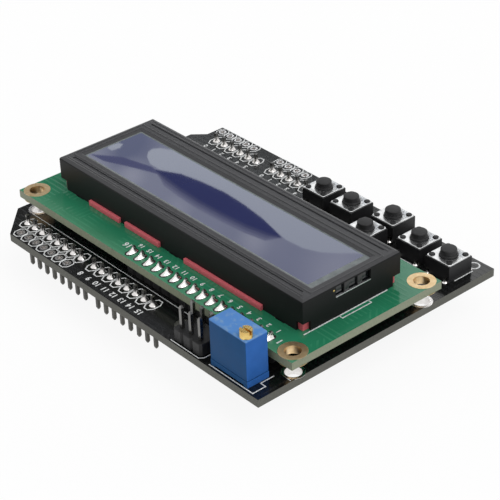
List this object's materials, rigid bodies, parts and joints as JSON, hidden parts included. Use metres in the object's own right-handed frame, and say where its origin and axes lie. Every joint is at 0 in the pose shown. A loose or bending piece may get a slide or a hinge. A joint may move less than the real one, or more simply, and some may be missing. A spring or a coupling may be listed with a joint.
{
  "type": "lcd keypad shield",
  "caption": "Character display on its own board above a keypad shield, with push buttons, a contrast trimmer and pin rows that plug into a controller board.",
  "frame": {"origin": "below the middle of the boards' outline, at the tips of the pins that plug in", "axes": "+X to the right and +Y up the display as it is read, +Z out of the display's face"},
  "size_m": [0.0808, 0.058, 0.0206],
  "materials": {
    "shield_board_black": "glossy black solder mask over glass fibre board",
    "lcd_board_green": "glossy green solder mask over glass fibre board",
    "black_painted_frame": "satin black paint on folded sheet",
    "display_glass": "clear polished glass",
    "polarizer_blue": "glossy dark blue film",
    "white_plastic": "white moulded plastic",
    "connector_rubber": "pink silicone rubber with a dark conductive core",
    "black_epoxy": "black epoxy",
    "solder": "bright solder",
    "tinned_pins": "bright tin plating",
    "header_plastic": "black moulded plastic",
    "trimmer_blue": "blue moulded plastic",
    "brass_screw": "turned brass",
    "button_steel": "bright pressed steel",
    "button_plastic": "black moulded plastic"
  },
  "bodies": {
    "shield_body": {"analog_insulator": "header_plastic", "analog_pins": "tinned_pins", "backlight_lamp": "white_plastic", "diffuser_film": "white_plastic", "digital_high_insulator": "header_plastic", "digital_high_pins": "tinned_pins", "digital_low_insulator": "header_plastic", "digital_low_pins": "tinned_pins", "down_button_base": "button_plastic", "down_button_contacts": "tinned_pins", "down_button_cover": "button_steel", "driver_chip_caps": "black_epoxy", "front_glass": "display_glass", "front_polarizer": "polarizer_blue", "header_solder": "solder", "lcd_bezel": "black_painted_frame", "lcd_board": "lcd_board_green", "lcd_chip_resistors": "black_epoxy", "lcd_insulator": "header_plastic", "lcd_pins": "tinned_pins", "lcd_solder": "solder", "left_button_base": "button_plastic", "left_button_contacts": "tinned_pins", "left_button_cover": "button_steel", "light_guide": "white_plastic", "power_insulator": "header_plastic", "power_pins": "tinned_pins", "program_insulator": "header_plastic", "program_pins": "tinned_pins", "rear_glass": "display_glass", "rear_polarizer": "polarizer_blue", "reset_button_base": "button_plastic", "reset_button_contacts": "tinned_pins", "reset_button_cover": "button_steel", "right_button_base": "button_plastic", "right_button_contacts": "tinned_pins", "right_button_cover": "button_steel", "rubber_strip_back": "connector_rubber", "rubber_strip_front": "connector_rubber", "select_button_base": "button_plastic", "select_button_contacts": "tinned_pins", "select_button_cover": "button_steel", "shield_board": "shield_board_black", "trimmer_base": "trimmer_blue", "trimmer_case": "trimmer_blue", "trimmer_leads": "tinned_pins", "up_button_base": "button_plastic", "up_button_contacts": "tinned_pins", "up_button_cover": "button_steel"},
    "select_plunger_body": {"select_button_plunger": "button_plastic"},
    "left_plunger_body": {"left_button_plunger": "button_plastic"},
    "down_plunger_body": {"down_button_plunger": "button_plastic"},
    "up_plunger_body": {"up_button_plunger": "button_plastic"},
    "right_plunger_body": {"right_button_plunger": "button_plastic"},
    "reset_plunger_body": {"reset_button_plunger": "button_plastic"},
    "screw_body": {"trimmer_screw": "brass_screw"},
    "wheel_body": {"trimmer_wheel": "white_plastic"}
  },
  "joints": [
    {"name": "select_press", "type": "slide", "parent": "shield_body", "child": "select_plunger_body", "axis": [0, 0, -1], "range_m": [0, 0.00025], "stiffness_N_per_m": 6400},
    {"name": "left_press", "type": "slide", "parent": "shield_body", "child": "left_plunger_body", "axis": [0, 0, -1], "range_m": [0, 0.00025], "stiffness_N_per_m": 6400},
    {"name": "down_press", "type": "slide", "parent": "shield_body", "child": "down_plunger_body", "axis": [0, 0, -1], "range_m": [0, 0.00025], "stiffness_N_per_m": 6400},
    {"name": "up_press", "type": "slide", "parent": "shield_body", "child": "up_plunger_body", "axis": [0, 0, -1], "range_m": [0, 0.00025], "stiffness_N_per_m": 6400},
    {"name": "right_press", "type": "slide", "parent": "shield_body", "child": "right_plunger_body", "axis": [0, 0, -1], "range_m": [0, 0.00025], "stiffness_N_per_m": 6400},
    {"name": "reset_press", "type": "slide", "parent": "shield_body", "child": "reset_plunger_body", "axis": [0, 0, -1], "range_m": [0, 0.00025], "stiffness_N_per_m": 6400},
    {"name": "screw_turn", "type": "hinge", "parent": "shield_body", "child": "screw_body", "pos_m": [-0.0349, 0.02705, 0.0205], "axis": [0, 0, 1], "continuous": true},
    {"name": "wheel_turn", "type": "hinge", "parent": "shield_body", "child": "wheel_body", "pos_m": [-0.03108, 0.02705, 0.0148], "axis": [0, 1, 0], "continuous": true}
  ],
  "couplings": [
    {"joint": "wheel_turn", "follows": "screw_turn", "ratio": 0.03}
  ]
}
